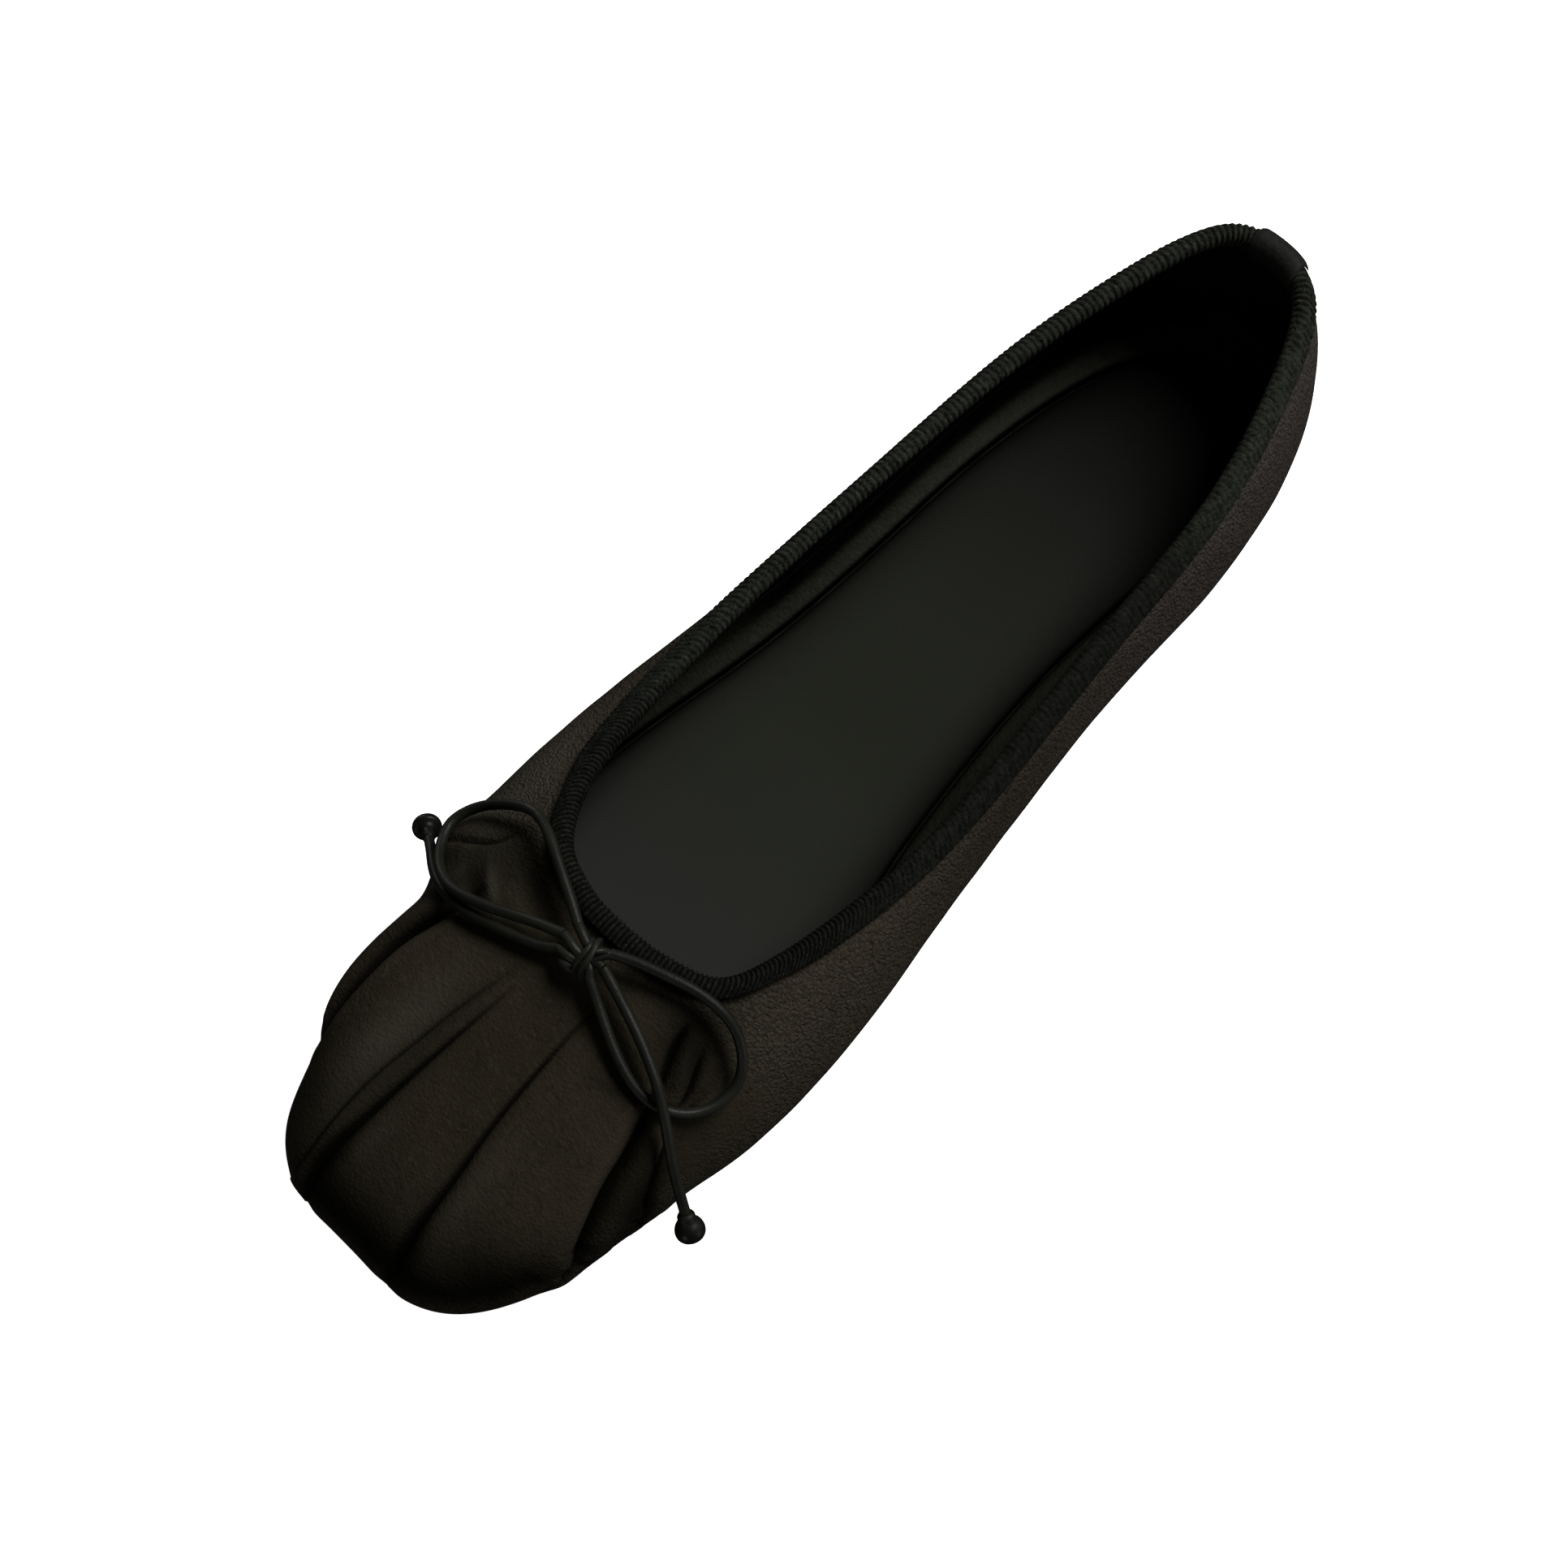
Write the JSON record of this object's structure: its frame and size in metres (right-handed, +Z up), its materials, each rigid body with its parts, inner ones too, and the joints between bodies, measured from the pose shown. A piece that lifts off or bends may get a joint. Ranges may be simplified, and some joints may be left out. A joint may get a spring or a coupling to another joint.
{
  "type": "ballet flat",
  "caption": "Soft leather ballet flat for the right foot, with a square pleated toe, a ribbed collar binding and a thin drawcord bow at the throat.",
  "frame": {"origin": "under the middle of the shoe's own box without its bow, on the floor", "axes": "+Z up, the toe points to -Y, +X is the medial side, which is the wearer's left"},
  "size_m": [0.0916, 0.2529, 0.0553],
  "materials": {
    "upper_leather": "matt soft leather, brown-black",
    "sole_rubber": "matt black rubber",
    "insole_board": "matt black board",
    "lining_leather": "matt soft leather, green-black",
    "footbed_leather": "smooth leather, satin black",
    "binding_webbing": "ribbed black webbing",
    "drawcord": "round black cord"
  },
  "bodies": {
    "root": {"upper": "upper_leather", "outsole": "sole_rubber", "heel": "sole_rubber", "insole": "insole_board", "sock_ledge": "lining_leather", "sock_panel": "footbed_leather", "collar_binding": "binding_webbing", "binding_join": "binding_webbing", "bow_knot": "drawcord", "bow_loop_lateral": "drawcord", "bow_loop_medial": "drawcord", "bow_end_lateral": "drawcord", "bow_end_medial": "drawcord", "cord_tip_lateral": "drawcord", "cord_tip_medial": "drawcord"}
  },
  "joints": []
}
